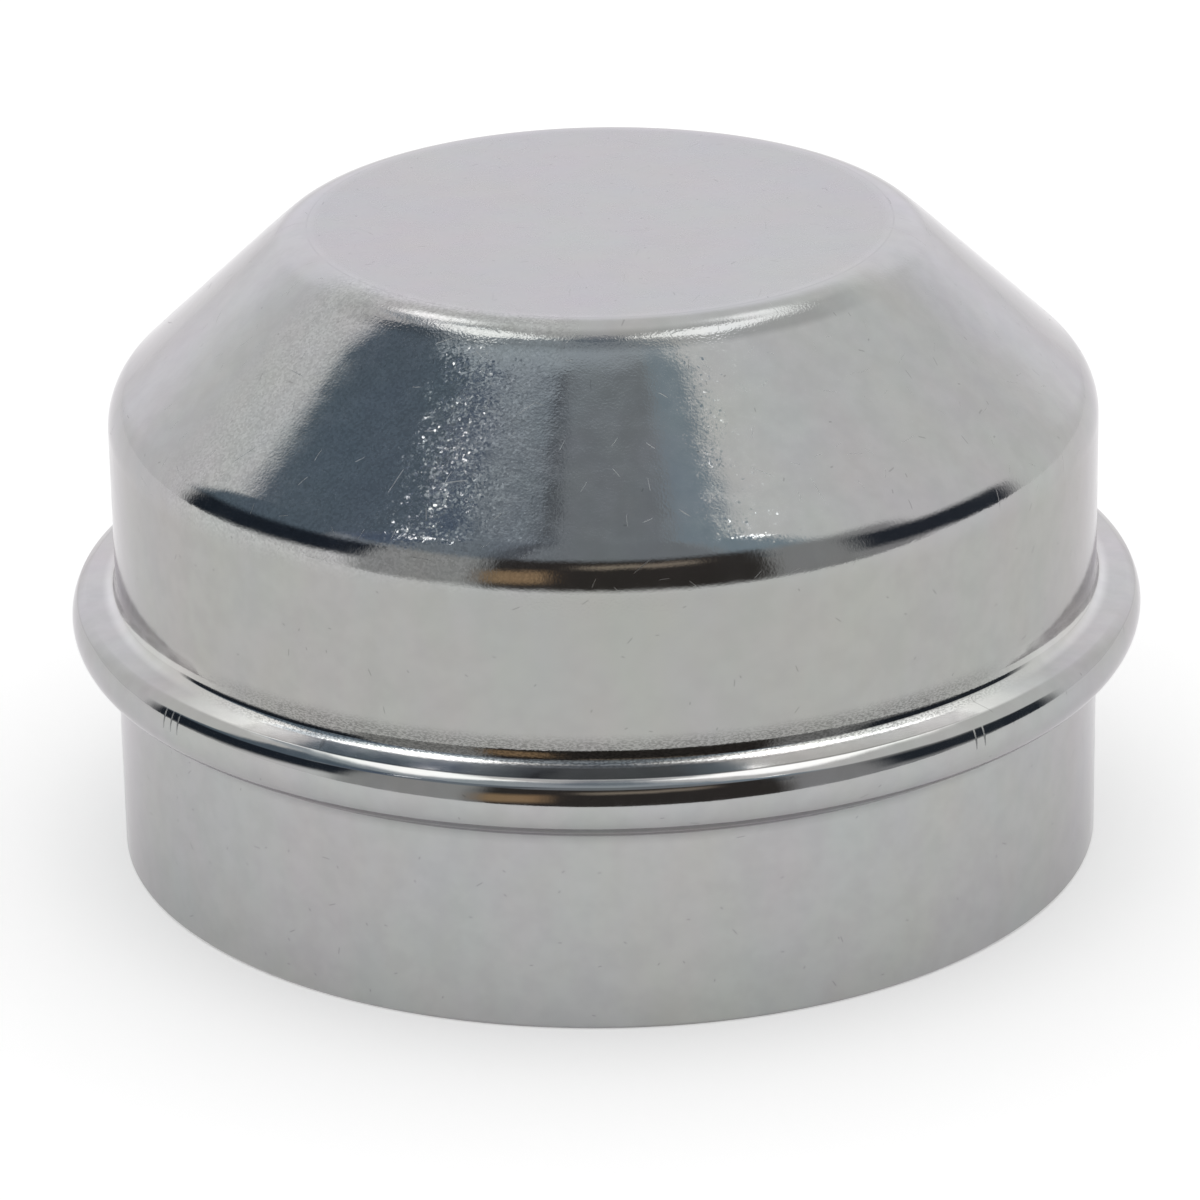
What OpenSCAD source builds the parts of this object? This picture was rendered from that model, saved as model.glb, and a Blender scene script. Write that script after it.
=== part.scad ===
// Hub grease cap: one drawn steel sheet with a flat crown, a cone, a straight wall
// and a rolled collar above the spigot that is pressed into the hub.
// The outer skin is a chain of straight lengths and bends from the rim up to the edge
// of the flat top, and the inner skin runs one sheet deeper round the same centres.
// The rim lies on Z = 0 and the axis is Z.

/* [Sheet] */
// Thickness of the sheet
sheet = 0.8; // [0.6:0.05:1.2]
// Bevel broken on the rim's outer edge
rim_bevel = 0.25; // [0.05:0.05:0.5]

/* [Spigot] */
// Outside diameter of the spigot
spigot_d = 64.8; // [55:0.1:80]
// Height of the spigot's straight wall, from the rim to the foot of the collar
spigot_h = 12.6; // [8:0.1:25]

/* [Collar] */
// Bend at the foot, where the spigot turns out under the collar
foot_bend = 1.35; // [0.8:0.05:2.5]
// Bend inside the round nose
nose_bend = 1.6; // [1.2:0.05:2.5]
// Angle above the widest ring at which the nose tightens into its lip
lip_turn = 30; // [15:1:45]
// Bend inside the lip
lip_bend = 0.15; // [0.05:0.05:0.8]
// Width of the ledge on top of the collar
ledge_w = 1.2; // [0.4:0.1:2]
// Slope of the ledge, which drains outwards
ledge_slope = 5.5; // [0:0.5:15]
// Bend at the root of the ledge
root_bend = 0.65; // [0.3:0.05:1.2]
// Angle from the wall at which the root opens into its flare
flare_turn = 25; // [15:1:40]
// Bend of the flare
flare_bend = 1.6; // [1:0.1:3]
// Angle from the wall at which the flare fades into it
fade_turn = 4; // [1:0.5:8]
// Bend of the fade
fade_bend = 8.5; // [4:0.5:12]

/* [Crown] */
// How far the crown's wall lies inside the spigot's
crown_relief = 0.1; // [0:0.05:0.6]
// Height of the crown's straight wall, from the collar's fade to the shoulder
wall_h = 9.65; // [5:0.05:25]
// Bend inside the shoulder
shoulder_bend = 3.1; // [1:0.1:5]
// Slope of the cone
cone_slope = 43.2; // [35:0.1:50]
// Angle through which the cone eases over before the edge of the top
ease_turn = 3; // [1:0.5:6]
// Bend of that easing
ease_bend = 45; // [20:1:60]
// Bend inside the edge of the top
top_bend = 2.9; // [1:0.1:5]
// Diameter of the flat top
top_d = 37.4; // [28:0.1:42]

/* [Hidden] */
// Largest turn between neighbouring points of a bend
bend_step = 6;
$fn = 180;
spigot_r = spigot_d / 2;
crown_r = spigot_r - crown_relief;
cone_turn = 90 - cone_slope;
ledge_turn = 90 - ledge_slope;

// How far a bend carries its skin across while its normal goes from one angle to another
function across(r, from, to) = r * abs(cos(from) - cos(to));

// The collar's upper side runs in to the crown's wall, and its underside runs out as far
collar_out = across(nose_bend + sheet, 0, lip_turn) + across(lip_bend + sheet, lip_turn, ledge_turn)
    + ledge_w * cos(ledge_slope) + across(root_bend, ledge_turn, flare_turn)
    + across(flare_bend, flare_turn, fade_turn) + across(fade_bend, fade_turn, 0) - crown_relief;
under_r = foot_bend + nose_bend + sheet;
under_flat = max(0, collar_out - under_r);
under_turn = acos(max(0, 1 - collar_out / under_r));
cone_w = (crown_r - top_d / 2 - across(shoulder_bend + sheet, 0, cone_turn)
    - across(ease_bend + sheet, cone_turn, cone_turn + ease_turn)
    - across(top_bend + sheet, cone_turn + ease_turn, 90)) / cos(cone_slope);

// From the rim up: a straight length, then a turn with its bend. The cap's inside is on the left,
// so a left turn bends round the inside and a right turn round the outside.
moves = [
    [spigot_h, -under_turn, foot_bend],
    [under_flat, under_turn + lip_turn, nose_bend],
    [0, ledge_turn - lip_turn, lip_bend],
    [ledge_w, flare_turn - ledge_turn, root_bend],
    [0, fade_turn - flare_turn, flare_bend],
    [0, -fade_turn, fade_bend],
    [wall_h, cone_turn, shoulder_bend],
    [cone_w, ease_turn, ease_bend],
    [0, 90 - cone_turn - ease_turn, top_bend]
];

function ahead(heading) = [cos(heading), sin(heading)];
function left_of(heading) = [-sin(heading), cos(heading)];

// Points of one skin over the moves from number i on, with the outer skin at point p
function skin(depth, p = [spigot_r, 0], heading = 90, i = 0) =
    i == len(moves) ? [] :
    let (
        turn = moves[i][1],
        side = sign(turn),
        outer_r = side > 0 ? moves[i][2] + sheet : moves[i][2],
        centre = p + moves[i][0] * ahead(heading) + side * outer_r * left_of(heading),
        steps = max(2, ceil(abs(turn) / bend_step)),
        bend = [for (k = [0 : steps]) centre - side * (outer_r - side * depth) * left_of(heading + turn * k / steps)],
        end = centre - side * outer_r * left_of(heading + turn)
    )
    concat(bend, skin(depth, end, heading + turn, i + 1));

function reversed(points) = [for (i = [len(points) - 1 : -1 : 0]) points[i]];

module section() {
    outer = skin(0);
    inner = skin(sheet);
    cap_h = outer[len(outer) - 1].y;
    polygon(concat(
        [[spigot_r - rim_bevel, 0], [spigot_r, rim_bevel]],
        outer,
        [[0, cap_h], [0, cap_h - sheet]],
        reversed(inner),
        [[spigot_r - sheet, 0]]
    ));
}

module grease_cap() {
    color("#a9a9a7") rotate_extrude() section();
}

grease_cap();
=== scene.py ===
"""Hub grease cap in zinc-plated drawn steel, standing on its rim in a white studio with grey cards."""
import math
from types import SimpleNamespace
import bpy
import numpy as np
from mathutils import Matrix, Vector


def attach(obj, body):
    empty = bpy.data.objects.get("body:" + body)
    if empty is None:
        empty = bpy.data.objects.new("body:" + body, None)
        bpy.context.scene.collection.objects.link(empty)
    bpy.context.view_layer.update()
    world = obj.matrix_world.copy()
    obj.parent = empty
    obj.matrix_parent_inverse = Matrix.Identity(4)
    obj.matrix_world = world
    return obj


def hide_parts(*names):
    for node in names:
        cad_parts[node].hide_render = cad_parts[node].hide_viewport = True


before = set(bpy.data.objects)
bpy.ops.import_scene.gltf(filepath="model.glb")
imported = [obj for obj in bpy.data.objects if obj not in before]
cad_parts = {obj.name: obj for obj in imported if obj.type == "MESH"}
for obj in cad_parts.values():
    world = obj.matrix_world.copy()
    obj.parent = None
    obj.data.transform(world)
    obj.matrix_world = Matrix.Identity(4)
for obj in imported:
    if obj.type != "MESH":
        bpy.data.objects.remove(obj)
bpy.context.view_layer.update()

MM = 0.001

# The section in millimetres and degrees, as the CAD source has it
SHEET = 0.8
RIM_BEVEL = 0.25
SPIGOT_R = 32.4
SPIGOT_H = 12.6
FOOT_BEND = 1.35
NOSE_BEND = 1.6
LIP_TURN = 30
LIP_BEND = 0.15
LEDGE_W = 1.2
LEDGE_SLOPE = 5.5
ROOT_BEND = 0.65
FLARE_TURN = 25
FLARE_BEND = 1.6
FADE_TURN = 4
FADE_BEND = 8.5
CROWN_RELIEF = 0.1
WALL_H = 9.65
SHOULDER_BEND = 3.1
CONE_SLOPE = 43.2
EASE_TURN = 3
EASE_BEND = 45
TOP_BEND = 2.9
TOP_R = 18.7


def cos(angle):
    return math.cos(math.radians(angle))


def across(r, start, end):
    """How far a bend carries its skin across while its normal goes from one angle to another."""
    return r * abs(cos(start) - cos(end))


CROWN_R = SPIGOT_R - CROWN_RELIEF
CONE_TURN = 90 - CONE_SLOPE
LEDGE_TURN = 90 - LEDGE_SLOPE
COLLAR_OUT = (across(NOSE_BEND + SHEET, 0, LIP_TURN) + across(LIP_BEND + SHEET, LIP_TURN, LEDGE_TURN)
              + LEDGE_W * cos(LEDGE_SLOPE) + across(ROOT_BEND, LEDGE_TURN, FLARE_TURN)
              + across(FLARE_BEND, FLARE_TURN, FADE_TURN) + across(FADE_BEND, FADE_TURN, 0) - CROWN_RELIEF)
UNDER_TURN = math.degrees(math.acos(1 - COLLAR_OUT / (FOOT_BEND + NOSE_BEND + SHEET)))
CONE_W = (CROWN_R - TOP_R - across(SHOULDER_BEND + SHEET, 0, CONE_TURN)
          - across(EASE_BEND + SHEET, CONE_TURN, CONE_TURN + EASE_TURN)
          - across(TOP_BEND + SHEET, CONE_TURN + EASE_TURN, 90)) / cos(CONE_SLOPE)

# From the rim up: a straight length, then a turn with its bend. A positive turn bends round the inside.
MOVES = [
    (SPIGOT_H, -UNDER_TURN, FOOT_BEND),
    (0, UNDER_TURN + LIP_TURN, NOSE_BEND),
    (0, LEDGE_TURN - LIP_TURN, LIP_BEND),
    (LEDGE_W, FLARE_TURN - LEDGE_TURN, ROOT_BEND),
    (0, FADE_TURN - FLARE_TURN, FLARE_BEND),
    (0, -FADE_TURN, FADE_BEND),
    (WALL_H, CONE_TURN, SHOULDER_BEND),
    (CONE_W, EASE_TURN, EASE_BEND),
    (0, 90 - CONE_TURN - EASE_TURN, TOP_BEND),
]
LIP, ROOT = 2, 3        # their places in the list
# The lip and the root turn unevenly on the real cap. Pairs of the even bend's slope and the slope that is
# shaded, in degrees.
LIP_SLOPES = ((LIP_TURN, LIP_TURN), (40, 50), (75, 60), (LEDGE_TURN, 70))
ROOT_SLOPES = ((FLARE_TURN, FLARE_TURN), (34, 50), (64, 60), (LEDGE_TURN, 66))
BEND_STEP = 3.5         # largest turn between points of a bend, degrees
SPAN = 2.5              # longest step along a straight stretch, mm
AROUND = 384            # facets round the axis
SAME = 1e-6             # points closer than this are one, and a point this close to the axis is on it


# Camera, fitted to the photo: lengths as shares of the crown's radius, angles in degrees
CAMERA_DISTANCE = 12.259
CAMERA_AIM_H = 0.5973
CAMERA_ELEVATION = 21.843
CAMERA_ROLL = 0.966
CAMERA_PAN_X = -0.060
CAMERA_PAN_Y = 0.493
CAMERA_LENS = 180
CAMERA_SENSOR = 36
CAMERA_CLIP = (0.01, 20)    # metres


def add_camera():
    unit = CROWN_R * MM
    elevation, roll = math.radians(CAMERA_ELEVATION), math.radians(CAMERA_ROLL)
    pan_x, pan_y = math.radians(CAMERA_PAN_X), math.radians(CAMERA_PAN_Y)
    se, ce = math.sin(elevation), math.cos(elevation)
    facing = Matrix(((1, 0, 0), (0, se, -ce), (0, ce, se)))
    turn = Matrix.Rotation(roll, 3, "Z") @ Matrix.Rotation(pan_y, 3, "X") @ Matrix.Rotation(pan_x, 3, "Y")
    pose = (facing @ turn.transposed()).to_4x4()
    aim = Vector((0, 0, CAMERA_AIM_H * unit))
    pose.translation = aim + CAMERA_DISTANCE * unit * Vector((0, -ce, se))
    data = bpy.data.cameras.new("camera")
    data.lens = CAMERA_LENS
    data.sensor_width = CAMERA_SENSOR
    data.clip_start, data.clip_end = CAMERA_CLIP
    camera = bpy.data.objects.new("camera", data)
    camera.matrix_world = pose
    bpy.context.scene.collection.objects.link(camera)
    bpy.context.scene.camera = camera


def ahead(heading):
    return np.array([math.cos(math.radians(heading)), math.sin(math.radians(heading))])


def left_of(heading):
    return np.array([-math.sin(math.radians(heading)), math.cos(math.radians(heading))])


def skin(depth, slopes):
    """Points of one skin from the spigot up to the edge of the top, each with its outward normal.
    slopes gives the bends whose shaded slope differs from the even one."""
    point, heading, out = np.array([SPIGOT_R, 0.0]), 90.0, []
    for number, (straight, turn, bend) in enumerate(MOVES):
        side = math.copysign(1, turn)
        outer_r = bend + SHEET if side > 0 else bend
        point = point + straight * ahead(heading)
        centre = point + side * outer_r * left_of(heading)
        steps = max(2, math.ceil(abs(turn) / BEND_STEP))
        for k in range(steps + 1):
            slope = heading + turn * k / steps - 90
            at = centre + side * (outer_r - side * depth) * ahead(slope)
            shaded = np.interp(slope, *zip(*slopes[number])) if number in slopes else slope
            out.append((at, ahead(shaded)))
        heading += turn
        point = centre - side * outer_r * left_of(heading)
    return out


OUTER = skin(0, {LIP: LIP_SLOPES, ROOT: ROOT_SLOPES})
CAP_H = OUTER[-1][0][1]
NOSE_H = max(OUTER, key=lambda pair: pair[0][0])[0][1]
SHOULDER_H = CAP_H - (CROWN_R - TOP_R) * math.tan(math.radians(CONE_SLOPE))
COLLAR_HEAD_H = NOSE_H + 2.5        # a little above the collar's root


def outline():
    """The closed section as (point, normal) pairs. A sharp edge is two pairs at one point."""
    down, out = np.array([0.0, -1.0]), np.array([1.0, 0.0])
    bevel = np.array([math.sqrt(0.5), -math.sqrt(0.5)])
    low, high = np.array([SPIGOT_R - RIM_BEVEL, 0]), np.array([SPIGOT_R, RIM_BEVEL])
    inner = [(p, -n) for p, n in reversed(skin(SHEET, {}))]
    rim_in = np.array([SPIGOT_R - SHEET, 0.0])
    path = [(rim_in, down), (low, down), (low, bevel), (high, bevel), (high, out)]
    path += OUTER + [(np.array([0.0, CAP_H]), -down)]
    path += [(np.array([0.0, CAP_H - SHEET]), down)] + inner
    path += [(rim_in, -out)]
    return path


def divided(path):
    """Adds points along long straight stretches, with the normal turned evenly between the ends."""
    out = [path[0]]
    for (a, na), (b, nb) in zip(path[:-1], path[1:]):
        steps = max(1, math.ceil(np.linalg.norm(b - a) / SPAN)) if a[0] + b[0] > 0 else 1
        for i in range(1, steps + 1):
            n = na + (nb - na) * i / steps
            out.append((a + (b - a) * i / steps, n / np.linalg.norm(n)))
    return out


def merged(path):
    """The path's separate points, and for each pair of the path the number of its point."""
    points, number_of = [], []
    for point, _ in path:
        if points and np.allclose(point, points[-1], atol=SAME):
            number_of.append(len(points) - 1)
        elif len(points) > 2 and np.allclose(point, points[0], atol=SAME):
            number_of.append(0)
        else:
            points.append(point)
            number_of.append(len(points) - 1)
    return points, number_of


def turned(points, ring):
    """Vertices of the points turned round Z, and the number of each point's first vertex."""
    verts, first = [], []
    for r, z in points:
        first.append(len(verts))
        if r < SAME:
            verts.append((0, 0, z * MM))
        else:
            verts += [(x * r * MM, y * r * MM, z * MM) for x, y in ring]
    return verts, first


def build_cap():
    """Turns the section round Z. Point 0 is the rim's inner edge, and the path ends there too."""
    path = divided(outline())
    points, number_of = merged(path)
    angles = np.arange(AROUND) * 2 * math.pi / AROUND
    ring = np.stack([np.sin(angles), -np.cos(angles)], 1)
    verts, first = turned(points, ring)
    faces, normals = [], []
    for i in range(len(path) - 1):
        a, b = number_of[i], number_of[i + 1]
        pole_a, pole_b = points[a][0] < SAME, points[b][0] < SAME
        if a == b or (pole_a and pole_b):
            continue
        for j in range(AROUND):
            k = (j + 1) % AROUND
            corners = [(a, pole_a, i, j), (a, pole_a, i, k), (b, pole_b, i + 1, k), (b, pole_b, i + 1, j)]
            if pole_a:
                corners.pop(0)
            if pole_b:
                corners.pop(3)
            faces.append([first[row] + (0 if pole else turn) for row, pole, _, turn in corners])
            for _, _, pair, turn in corners:
                n, (x, y) = path[pair][1], ring[turn]
                normals.append((x * n[0], y * n[0], n[1]))
    mesh = bpy.data.meshes.new("cap_shell")
    mesh.from_pydata(verts, [], faces)
    mesh.shade_smooth()
    mesh.normals_split_custom_set(normals)
    mesh.validate()
    cap = bpy.data.objects.new("cap_shell", mesh)
    bpy.context.scene.collection.objects.link(cap)
    return cap


class Graph:
    """Short calls for wiring a node tree. A value is a number, a tuple or another node's output."""

    def __init__(self, tree):
        self.tree = tree
        tree.nodes.clear()

    def add(self, kind, inputs=None, **settings):
        node = self.tree.nodes.new(kind)
        for name, value in settings.items():
            setattr(node, name, value)
        for name, value in (inputs or {}).items():
            self.put(node.inputs[name], value)
        return node

    def put(self, socket, value):
        if isinstance(value, bpy.types.NodeSocket):
            self.tree.links.new(value, socket)
        else:
            socket.default_value = value

    def math(self, operation, a, b=0.0, c=0.0):
        return self.add("ShaderNodeMath", {0: a, 1: b, 2: c}, operation=operation).outputs[0]

    def vector(self, operation, a, b=(0, 0, 0)):
        return self.add("ShaderNodeVectorMath", {0: a, 1: b}, operation=operation).outputs[0]

    def scaled(self, a, factor):
        node = self.add("ShaderNodeVectorMath", {0: a}, operation="SCALE")
        self.put(node.inputs["Scale"], factor)
        return node.outputs[0]

    def combined(self, x, y, z=0.0):
        return self.add("ShaderNodeCombineXYZ", {0: x, 1: y, 2: z}).outputs[0]

    def split(self, v):
        return self.add("ShaderNodeSeparateXYZ", {0: v}).outputs

    def ramp(self, value, start, end, low=0.0, high=1.0):
        """Goes smoothly from low at start to high at end."""
        inputs = {"Value": value, "From Min": start, "From Max": end, "To Min": low, "To Max": high}
        return self.add("ShaderNodeMapRange", inputs, interpolation_type="SMOOTHSTEP").outputs["Result"]

    def mix(self, factor, a, b):
        node = self.add("ShaderNodeMix", data_type="RGBA")
        self.put(node.inputs["Factor"], factor)
        for socket, value in ((node.inputs[6], a), (node.inputs[7], b)):
            self.put(socket, (*value, 1.0) if isinstance(value, tuple) and len(value) == 3 else value)
        return node.outputs[2]

    def noise(self, vector, scale, detail=2.0, roughness=0.5, output=0):
        inputs = {"Vector": vector, "Scale": scale, "Detail": detail, "Roughness": roughness}
        return self.add("ShaderNodeTexNoise", inputs).outputs[output]

    def product(self, *factors):
        out = factors[0]
        for f in factors[1:]:
            out = self.math("MULTIPLY", out, f)
        return out

    def total(self, *terms):
        out = terms[0]
        for t in terms[1:]:
            out = self.math("ADD", out, t)
        return out


# Soft cards of the studio, seen from the cap: azimuth and elevation of the middle in degrees (azimuth 0 is
# the camera's side, plus is the right), half width, half height, softness across and up, tilt in degrees
# of elevation per degree of azimuth, and linear colour where 1 is white. A later card hangs in front of
# an earlier one.
CARDS = [
    # behind the cap and above it
    ("backdrop", 180, 20, 38, 16, 12, 8, 0.0, (1.27, 1.26, 1.31)),
    ("ceiling", 0, 90, 180, 5, 1, 4, 0.0, (0.46, 0.49, 0.55)),
    ("strip_left_back", -140, 56, 18, 5, 7, 3, 0.1, (2.4, 2.4, 2.4)),
    ("strip_right_back", 140, 57.5, 18, 4.5, 7, 3, -0.1, (2.0, 2.0, 2.0)),
    # above the camera
    ("left_haze", -48, 48, 22, 28, 4, 2, 0.0, (0.29, 0.33, 0.38)),
    ("left_blue", -90, 42, 20, 22, 3, 3, 0.2, (0.160, 0.208, 0.260)),
    ("left_navy", -64, 56, 8, 18, 4, 3, 0.0, (0.150, 0.195, 0.275)),
    ("right_haze", 40, 50, 12, 28, 6, 2, 0.0, (0.36, 0.44, 0.51)),
    ("middle_grey", 2, 50, 29, 28, 4, 2, 0.0, (0.315, 0.342, 0.372)),
    ("middle_seam", -26.5, 56, 4, 24, 3, 2, 0.0, (0.155, 0.170, 0.195)),
    ("upper_left", -72, 73.4, 68, 9.5, 6, 2, 0.205, (0.57, 0.63, 0.69)),
    ("upper_right", 12, 85, 36, 10, 8, 2, 0.0, (0.56, 0.62, 0.68)),
    ("middle_top", -10, 84, 45, 3.5, 8, 2.5, 0.0, (0.32, 0.37, 0.43)),
    ("strip_left", -108, 70, 26, 7.5, 6, 2.5, 0.20, (2.5, 2.5, 2.5)),
    ("strip_right", 106, 73, 28, 9, 6, 2.5, -0.20, (2.6, 2.6, 2.6)),
    ("lamp_high_left", -62, 56.5, 2.0, 3.0, 1, 1, 0.0, (4.2, 4.2, 4.3)),
    ("lamp_high_right", 52, 60, 1.8, 2.8, 1, 1, 0.0, (5.0, 5.0, 5.1)),
    # at the camera's height
    ("left_near", -42, 12, 16, 24, 4, 5, 0.0, (0.50, 0.50, 0.50)),
    ("right_near", 56, 10, 19, 26, 5, 6, 0.0, (0.42, 0.42, 0.43)),
    ("window_left", -82, 15, 26, 12, 3, 4.5, 0.25, (0.024, 0.032, 0.046)),
    ("window_right", 81, 11, 23, 12, 5, 4.5, -0.16, (0.036, 0.044, 0.058)),
    ("dome", 5, 11.5, 33, 27, 4, 5, 0.0, (0.056, 0.050, 0.047)),
    ("orange", -20, 7, 7, 11, 3, 6, 0.3, (0.46, 0.31, 0.18)),
    ("gold", 8, 28, 14, 3, 4, 4, 0.1, (0.44, 0.37, 0.30)),
]
STUDIO_WHITE = (1.0, 1.0, 1.0)


def card_mask(g, facing, card):
    """1 on the card and 0 off it, for a direction given as (azimuth, elevation, 0)."""
    _, az, el, half_w, half_h, soft_w, soft_h, tilt, _ = card
    off = g.add("ShaderNodeVectorMath", {0: g.vector("SUBTRACT", facing, (az, el, 0)), 1: (180, 180, 1),
                                         2: (-180, -180, -1)}, operation="WRAP").outputs[0]
    if tilt:
        aside, up, _ = g.split(off)
        off = g.combined(aside, g.math("MULTIPLY_ADD", aside, -tilt, up))
    inside = g.add("ShaderNodeMapRange", data_type="FLOAT_VECTOR", interpolation_type="SMOOTHSTEP")
    g.put(inside.inputs["Vector"], g.vector("ABSOLUTE", off))
    for name, value in (("From_Min_FLOAT3", (half_w + soft_w, half_h + soft_h, 1)),
                        ("From_Max_FLOAT3", (half_w - soft_w, half_h - soft_h, 0)),
                        ("To_Min_FLOAT3", (0, 0, 0)), ("To_Max_FLOAT3", (1, 1, 1))):
        next(i for i in inside.inputs if i.identifier == name).default_value = value
    wide, high, _ = g.split(inside.outputs["Vector"])
    return g.math("MULTIPLY", wide, high)


def build_world():
    world = bpy.data.worlds.new("studio")
    world.use_nodes = True
    bpy.context.scene.world = world
    g = Graph(world.node_tree)
    direction = g.add("ShaderNodeTexCoord").outputs["Generated"]
    x, y, z = g.split(g.vector("NORMALIZE", direction))
    azimuth = g.math("DEGREES", g.math("ARCTAN2", x, g.math("MULTIPLY", y, -1.0)))
    facing = g.combined(azimuth, g.math("DEGREES", g.math("ARCSINE", z)))
    colour = STUDIO_WHITE
    for card in CARDS:
        colour = g.mix(card_mask(g, facing, card), colour, card[-1])
    path = g.add("ShaderNodeLightPath").outputs
    reflected = g.math("MAXIMUM", path["Is Glossy Ray"], path["Is Transmission Ray"])
    cards = g.add("ShaderNodeBackground", {"Color": colour}).outputs[0]
    white = g.add("ShaderNodeBackground", {"Color": (*STUDIO_WHITE, 1)}).outputs[0]
    both = g.add("ShaderNodeMixShader", {0: reflected, 1: white, 2: cards})
    g.add("ShaderNodeOutputWorld", {"Surface": both.outputs[0]})
    # the studio is even, so plain rays find its light without a map
    world.cycles.sampling_method = "NONE"


FLOOR_HALF = 3.0
FLOOR_FRONT = 0.110     # from the cap's axis to the table's front edge, below the picture
FLOOR_WHITE = 0.80      # the floor's own colour
FLOOR_GLOW = 0.30       # what the backdrop light adds where the floor is looked at


def build_floor():
    mesh = bpy.data.meshes.new("floor")
    h, front = FLOOR_HALF, -FLOOR_FRONT
    mesh.from_pydata([(-h, front, 0), (h, front, 0), (h, h, 0), (-h, h, 0)], [], [(0, 1, 2, 3)])
    floor = bpy.data.objects.new("floor", mesh)
    bpy.context.scene.collection.objects.link(floor)
    material = bpy.data.materials.new("floor")
    material.use_nodes = True
    g = Graph(material.node_tree)
    diffuse = g.add("ShaderNodeBsdfDiffuse", {"Color": (FLOOR_WHITE, FLOOR_WHITE, FLOOR_WHITE, 1)})
    path = g.add("ShaderNodeLightPath").outputs
    looked_at = g.math("MAXIMUM", g.math("MAXIMUM", path["Is Camera Ray"], path["Is Glossy Ray"]),
                       path["Is Transmission Ray"])
    glow = g.add("ShaderNodeEmission", {"Strength": g.math("MULTIPLY", looked_at, FLOOR_GLOW)})
    both = g.add("ShaderNodeAddShader", {0: diffuse.outputs[0], 1: glow.outputs[0]})
    g.add("ShaderNodeOutputMaterial", {"Surface": both.outputs[0]})
    mesh.materials.append(material)


BASE = (0.405, 0.408, 0.405)            # linear reflectance of the plating
WALL_TINT = (0.938, 0.930, 0.903)       # the crown's wall is a little warmer
SLOPE_LENGTH = 1.2                      # length along the sheet per height, on the cone and the walls
EDGE_TINT = (0.89, 0.87, 0.89, 1)       # every surface that turns away is a little pinker and darker
LEDGE_OUT_R = SPIGOT_R + COLLAR_OUT - 0.9

# Regions of the sheet, in mm. Each pair is the height or radius where a mask is 0 and where it is 1.
TOP_Z = (CAP_H - 0.3, CAP_H - 0.02)
TOP_RIM = (TOP_R + 0.5, TOP_R - 0.5)
FLAT_Z = CAP_H - 0.05
EDGE_LOW_Z = (CAP_H - 1.4, CAP_H - 1.0)
EDGE_HIGH_Z = (CAP_H - 0.25, CAP_H - 0.5)
CONE_Z = (SHOULDER_H - 1.0, SHOULDER_H + 1.0)
KNUCKLE_Z = (SHOULDER_H - 2.5, SHOULDER_H - 1.0)
WALL_HIGH_Z = (SHOULDER_H + 1.0, SHOULDER_H - 1.0)
WALL_LOW_Z = (NOSE_H, COLLAR_HEAD_H)
ROOT_HIGH_Z = (COLLAR_HEAD_H + 1.4, COLLAR_HEAD_H + 0.4)
ROOT_LOW_Z = (NOSE_H + 1.5, NOSE_H + 2.0)
ROOT_RIM = (CROWN_R + 1.0, CROWN_R + 0.4)
CREASE_HIGH_Z = (COLLAR_HEAD_H + 0.8, COLLAR_HEAD_H - 0.4)
CREASE_LOW_Z = (NOSE_H + 1.2, NOSE_H + 1.5)
CREASE_RIM = (LEDGE_OUT_R, LEDGE_OUT_R - 0.3)
CREASE_RISE = (0.35, 0.7)               # Z of the face's own normal
COLLAR_HIGH_Z = (COLLAR_HEAD_H + 1.0, COLLAR_HEAD_H)
COLLAR_LOW_Z = (SPIGOT_H - 0.5, SPIGOT_H + 0.5)

# Pairs of the same kind, in degrees to either side of the front
FRONT = (58, 34)
CREASE_SIDES = (8, 17)
ROOT_SIDES = (45, 60)

# Faint clouds of tint, and a finer speckle that varies the tone
CLOUD_STRETCH, CLOUD_SCALE, CLOUD_TINT = (1, 1, 0.6), 0.12, 0.11
SPECKLE_SCALE = 0.6
TONE_SPAN, TONE = (0.25, 0.75), (0.965, 1.035)
CREASE_PAINTED_LIGHT = 2.4                       # painted light: the colour is raised in the crease between the ledge and the wall
SIDE_PAINTED_LIGHT = 1.4                         # and in its root at the cap's sides, painted light too

RING_R = TOP_R + 0.25                   # faint drawn ring at the edge of the top
RING_WIDTH = (0.10, 0.02)
RING_Z = CAP_H - 0.3
RING_SPECKLE = (0.3, 0.6)
# noise of the darker flecks in the collar's root
FLECK_STRETCH, FLECK_SCALE, FLECK_SPAN = (1, 1, 3), 5.0, (0.40, 0.62)
# How much each of these takes from the colour, and the most that they take together. The darkening of the
# collar's root and of the top's edge on the front is painted shade; the flecks in the root are darker on
# the front only.
RING_DARK, PIT_DARK, ROOT_FLECK_DARK, ROOT_PAINTED_SHADE, EDGE_PAINTED_SHADE, DARKEST = 0.10, 0.22, 0.35, 0.12, 0.25, 0.65

# Scattered marks: cell of their grid, length and width in mm, share of the cells with one, and seed
PITS = ((3.3, 0.7, 0.09, 0.16, 3.0), (1.9, 0.30, 0.10, 0.14, 11.0))
SCRATCHES = ((4.3, 1.9, 0.06, 0.40, 0.0), (2.1, 0.9, 0.05, 0.30, 5.0))
DASH_SHIFT = 0.4                        # range of a mark's place in its cell, in cells
SEED_SKEW = 1.7                         # the grid moves this much further one way than the other
THIRD_DRAW = 37.0                       # makes a third chance out of the first
TOP_SCRATCH = 0.3                       # scratches on the top are this strong

# Fine marks across the nose: bearings, half width in degrees, heights and how far they tilt the light
TICKS = (-52.5, -51.3, -50.2, 40.4, 41.6)
TICK_WIDTH = (0.15, 0.05)
TICK_LOW_Z = (NOSE_H - 0.2, NOSE_H + 0.1)
TICK_HIGH_Z = (NOSE_H + 1.4, NOSE_H + 1.0)
TICK_TILT = 0.22

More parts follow.
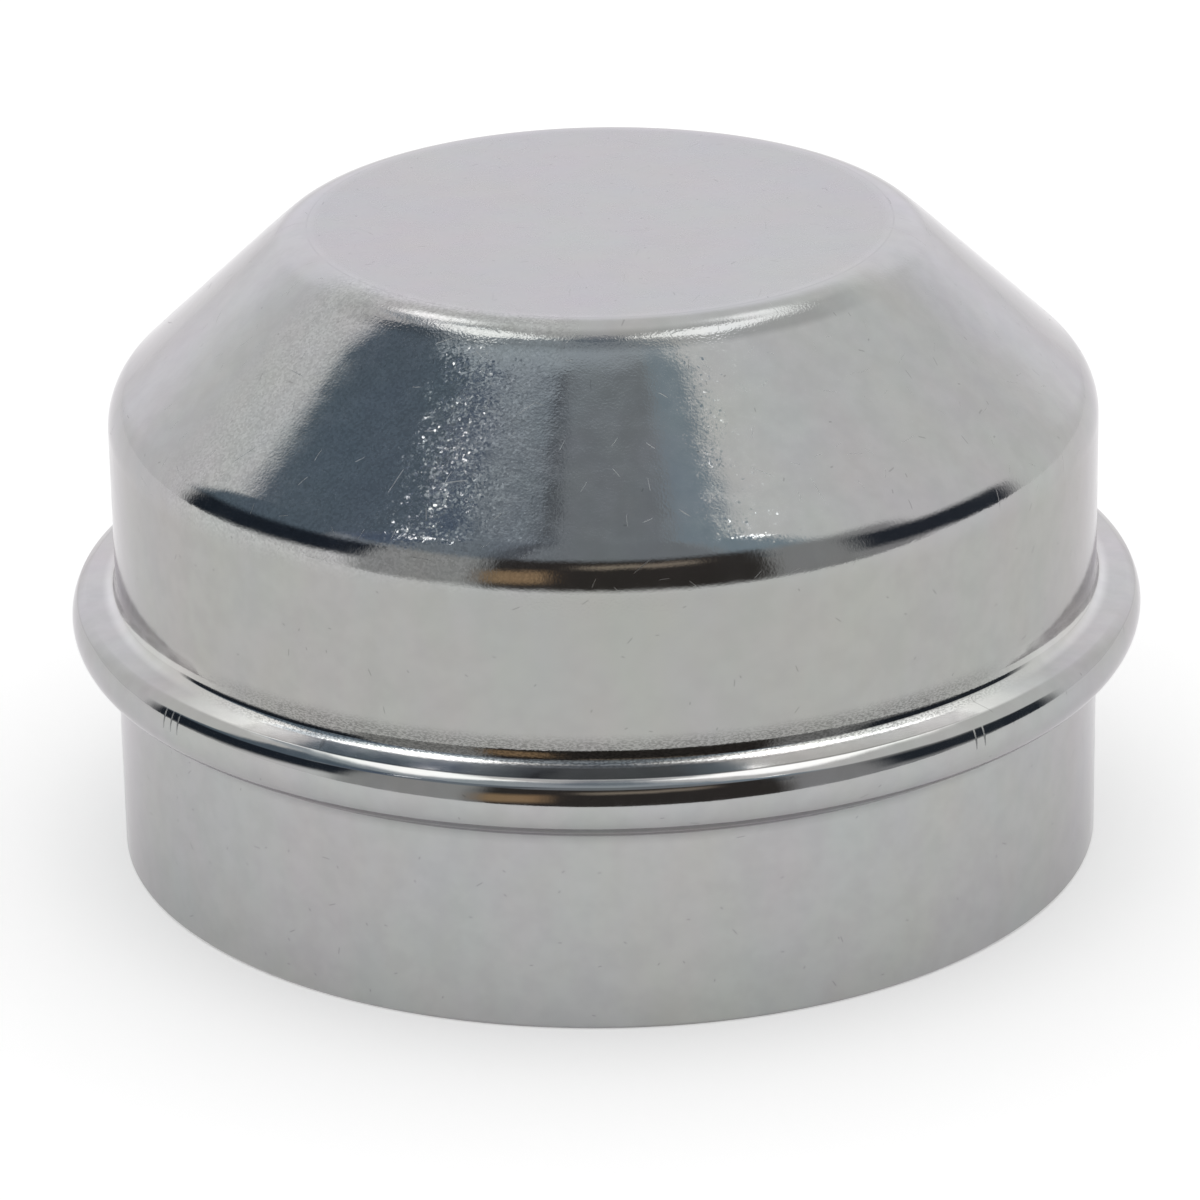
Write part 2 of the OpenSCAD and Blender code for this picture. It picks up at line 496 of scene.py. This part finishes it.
# Small facets: darker and lighter grain on the cone's left, and glitter in a few fields of it
FACET_SCALE = 7.0
GRAIN_RIGHT, GRAIN_LEFT, GRAIN = (-2, -9), (-64, -52), 0.26
GLITTER = ((-20.5, 5.5, 1.0), (-12.0, 4.0, 0.2), (17.5, 5.0, 0.5))      # bearing, half width, strength
GLITTER_OUT, GLITTER_IN = 5, 4          # its soft edge, outside and inside the half width
GLITTER_SPECKLE = (0.30, 0.62)
GLITTER_LOW_Z = (SHOULDER_H + 1.4, SHOULDER_H + 2.4)
GLITTER_HIGH_Z = (CAP_H - 0.8, CAP_H - 2.0)
GLITTER_TILT = 0.36

# Orange peel: height of its slow waves and of its fine grain, in mm
WAVE_SCALE, WAVE = 0.9, 0.006
PEEL_SCALE, PEEL = 6.0, 0.0008
KNUCKLE_PEEL, EDGE_PEEL, ROOT_PEEL = 0.0024, 0.006, 0.003

ROUGHNESS = 0.13
TOP_ROUGH, COLLAR_ROUGH, CONE_ROUGH, SCRATCH_ROUGH, TONE_ROUGH = 0.15, -0.04, -0.04, 0.35, 0.8


def near(g, value, at, bounds):
    """Mask of the values close to one value. The bounds are the distances where it is 0 and 1."""
    return g.ramp(g.math("ABSOLUTE", g.math("SUBTRACT", value, at)), *bounds)


def dashes(g, laid, cell, length, width, share, seed):
    """Mask of short bent marks, at most one in each cell of a grid laid over the sheet."""
    grid = g.vector("ADD", g.scaled(laid, 1 / cell), (seed, seed * SEED_SKEW, 0.0))
    corner = g.vector("FLOOR", grid)
    chance = g.add("ShaderNodeTexWhiteNoise", {"Vector": corner}).outputs
    _, first, second = g.split(chance["Color"])
    third = g.math("FRACT", g.math("MULTIPLY", first, THIRD_DRAW))
    x, y, _ = g.split(g.vector("SUBTRACT", grid, g.vector("ADD", corner, (0.5, 0.5, 0.0))))
    x = g.math("MULTIPLY_ADD", g.math("SUBTRACT", second, 0.5), DASH_SHIFT, x)
    y = g.math("MULTIPLY_ADD", g.math("SUBTRACT", third, 0.5), DASH_SHIFT, y)
    angle = g.math("MULTIPLY", first, math.pi)
    c, s = g.math("COSINE", angle), g.math("SINE", angle)
    along = g.math("ADD", g.product(x, c), g.product(y, s))
    aside = g.math("SUBTRACT", g.product(y, c), g.product(x, s))
    bow = g.product(along, along, g.math("SUBTRACT", second, 0.5))
    aside = g.math("SUBTRACT", aside, bow)
    half_l, half_w = length / 2 / cell, width / 2 / cell
    body = g.product(g.ramp(g.math("ABSOLUTE", along), half_l, half_l * 0.5),
                     g.ramp(g.math("ABSOLUTE", aside), half_w * 1.4, half_w * 0.4))
    return g.product(body, g.math("LESS_THAN", chance["Value"], share))


def laid_flat(g, x, y, z, around):
    """The sheet laid flat, for the marks: round the axis and along the slope, or across the top."""
    slope = g.combined(g.math("MULTIPLY", around, CROWN_R), g.math("MULTIPLY", z, SLOPE_LENGTH))
    return g.mix(g.math("GREATER_THAN", z, FLAT_Z), slope, g.combined(x, y))


def sheet_masks(g, place):
    """What the plating's colour, normal and roughness share: positions, masks of regions, and noises."""
    x, y, z = g.split(place)
    radius = g.math("SQRT", g.total(g.product(x, x), g.product(y, y)))
    around = g.math("ARCTAN2", x, g.math("MULTIPLY", y, -1.0))
    bearing = g.math("DEGREES", around)
    off_front = g.math("ABSOLUTE", bearing)
    rise = g.split(g.add("ShaderNodeNewGeometry").outputs["True Normal"])[2]
    top = g.product(g.ramp(z, *TOP_Z), g.ramp(radius, *TOP_RIM))
    tick = g.total(*(near(g, bearing, at, TICK_WIDTH) for at in TICKS))
    speckle = g.noise(place, SPECKLE_SCALE, detail=2, roughness=0.6)
    facets = g.add("ShaderNodeTexVoronoi", {"Vector": place, "Scale": FACET_SCALE}).outputs["Color"]
    return SimpleNamespace(
        place=place, z=z, radius=radius, bearing=bearing, off_front=off_front,
        laid=laid_flat(g, x, y, z, around),
        front=g.ramp(off_front, *FRONT),
        top=top,
        edge=g.product(g.ramp(z, *EDGE_LOW_Z), g.ramp(z, *EDGE_HIGH_Z)),
        cone=g.product(g.ramp(z, *CONE_Z), g.math("SUBTRACT", 1.0, top)),
        knuckle=g.ramp(z, *KNUCKLE_Z),
        wall=g.product(g.ramp(z, *WALL_HIGH_Z), g.ramp(z, *WALL_LOW_Z)),
        root=g.product(g.ramp(z, *ROOT_LOW_Z), g.ramp(z, *ROOT_HIGH_Z), g.ramp(radius, *ROOT_RIM)),
        crease=g.product(g.ramp(z, *CREASE_LOW_Z), g.ramp(z, *CREASE_HIGH_Z), g.ramp(rise, *CREASE_RISE),
                         g.ramp(radius, *CREASE_RIM)),
        collar=g.product(g.ramp(z, *COLLAR_LOW_Z), g.ramp(z, *COLLAR_HIGH_Z)),
        tick=g.product(tick, g.ramp(z, *TICK_LOW_Z), g.ramp(z, *TICK_HIGH_Z)),
        speckle=speckle,
        tone=g.ramp(speckle, *TONE_SPAN, *TONE),
        facets=g.vector("SUBTRACT", facets, (0.5, 0.5, 0.5)),
    )


def painted_collar_light(g, sheet):
    """Painted light: gain of the colour in the collar's crease and root, which the studio lights from
    several sides.
    """
    crease = g.product(sheet.crease, sheet.front, g.ramp(sheet.off_front, *CREASE_SIDES), CREASE_PAINTED_LIGHT - 1)
    root = g.product(sheet.root, g.ramp(sheet.off_front, *ROOT_SIDES), SIDE_PAINTED_LIGHT - 1)
    return g.total(crease, root, 1.0)


def marks_and_painted_shade(g, sheet):
    """What the drawn ring, dull pits, darker flecks in the collar's root on the front, and painted shade in
    the root and at the top's edge on the front take from the colour.
    """
    ring = g.product(near(g, sheet.radius, RING_R, RING_WIDTH), g.math("GREATER_THAN", sheet.z, RING_Z),
                     g.ramp(sheet.speckle, *RING_SPECKLE))
    pits = g.total(*(dashes(g, sheet.laid, *pit) for pit in PITS))
    flecks = g.noise(g.vector("MULTIPLY", sheet.place, FLECK_STRETCH), FLECK_SCALE, detail=1, roughness=0.6)
    root_flecks = g.product(sheet.root, g.ramp(flecks, *FLECK_SPAN))
    # the root's and the edge's darkening on the front is painted shade
    dark = g.total(g.product(ring, RING_DARK), g.product(pits, PIT_DARK),
                   g.product(root_flecks, sheet.front, ROOT_FLECK_DARK), g.product(sheet.root, sheet.front, ROOT_PAINTED_SHADE),
                   # painted shade at the top's edge, on the front
                   g.product(sheet.edge, sheet.front, EDGE_PAINTED_SHADE))
    return g.math("MINIMUM", dark, DARKEST)


def plating_colour(g, sheet):
    stretched = g.vector("MULTIPLY", sheet.place, CLOUD_STRETCH)
    cloud = g.noise(stretched, CLOUD_SCALE, detail=3, roughness=0.65, output=1)
    tint = g.scaled(g.vector("SUBTRACT", cloud, (0.5, 0.5, 0.5)), CLOUD_TINT)
    base = g.scaled(g.vector("MULTIPLY", g.vector("ADD", tint, (1, 1, 1)), BASE), sheet.tone)
    base = g.mix(sheet.wall, base, g.vector("MULTIPLY", base, WALL_TINT))
    # painted light in the collar's crease and root
    base = g.scaled(base, painted_collar_light(g, sheet))
    # the drawn ring and pits, the root's flecks, and painted shade
    base = g.scaled(base, g.math("SUBTRACT", 1.0, marks_and_painted_shade(g, sheet)))
    grain = g.product(g.split(sheet.facets)[0], sheet.cone, g.ramp(sheet.bearing, *GRAIN_RIGHT),
                      g.ramp(sheet.bearing, *GRAIN_LEFT), GRAIN)
    return g.scaled(base, g.math("ADD", grain, 1.0))


def glitter_lean(g, sheet):
    """Tilt of the normal where the sheet glitters: each facet leans its own way, a few of them far."""
    fields = []
    for at, half, strength in GLITTER:
        bounds = (half + GLITTER_OUT, half - GLITTER_IN)
        fields.append(g.product(near(g, sheet.bearing, at, bounds), strength))
    glitter = g.product(g.total(*fields), g.ramp(sheet.speckle, *GLITTER_SPECKLE),
                        g.ramp(sheet.z, *GLITTER_LOW_Z), g.ramp(sheet.z, *GLITTER_HIGH_Z))
    steep = g.add("ShaderNodeVectorMath", {0: sheet.facets, 1: sheet.facets}, operation="DOT_PRODUCT")
    return g.scaled(sheet.facets, g.product(glitter, steep.outputs["Value"], GLITTER_TILT))


def plating_normal(g, sheet):
    peel = g.total(PEEL, g.product(sheet.knuckle, KNUCKLE_PEEL), g.product(sheet.edge, EDGE_PEEL),
                   g.product(sheet.root, sheet.front, ROOT_PEEL))
    fine = g.product(g.noise(sheet.place, PEEL_SCALE, detail=1, roughness=0.6), peel)
    height = g.math("MULTIPLY_ADD", g.noise(sheet.place, WAVE_SCALE, detail=0), WAVE, fine)
    bump = g.add("ShaderNodeBump", {"Strength": 1.0, "Distance": MM, "Height": height}).outputs[0]
    tick_lean = g.combined(0.0, 0.0, g.math("MULTIPLY", sheet.tick, TICK_TILT))
    lean = g.vector("ADD", glitter_lean(g, sheet), tick_lean)
    return g.vector("NORMALIZE", g.vector("ADD", bump, lean))


def plating_roughness(g, sheet):
    scratch = g.total(*(dashes(g, sheet.laid, *scratches) for scratches in SCRATCHES))
    scratch = g.product(scratch, g.math("MAXIMUM", sheet.cone, g.math("MULTIPLY", sheet.top, TOP_SCRATCH)))
    scratch = g.math("MAXIMUM", scratch, sheet.tick)
    return g.total(ROUGHNESS, g.product(sheet.top, TOP_ROUGH), g.product(sheet.collar, COLLAR_ROUGH),
                   g.product(sheet.cone, CONE_ROUGH), g.product(scratch, SCRATCH_ROUGH),
                   g.product(g.math("SUBTRACT", sheet.tone, 1.0), TONE_ROUGH))


def zinc_material():
    material = bpy.data.materials.new("zinc_plate")
    material.use_nodes = True
    g = Graph(material.node_tree)
    place = g.scaled(g.add("ShaderNodeTexCoord").outputs["Object"], 1 / MM)
    sheet = sheet_masks(g, place)
    shader = g.add("ShaderNodeBsdfPrincipled", {
        "Metallic": 1.0, "Base Color": plating_colour(g, sheet), "Specular Tint": EDGE_TINT,
        "Roughness": plating_roughness(g, sheet), "Normal": plating_normal(g, sheet)})
    g.add("ShaderNodeOutputMaterial", {"Surface": shader.outputs[0]})
    return material


add_camera()
bpy.context.scene.view_settings.view_transform = "Standard"
build_world()
build_floor()
cap = build_cap()
cap.data.materials.append(zinc_material())
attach(cap, "root")
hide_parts("grease_cap")
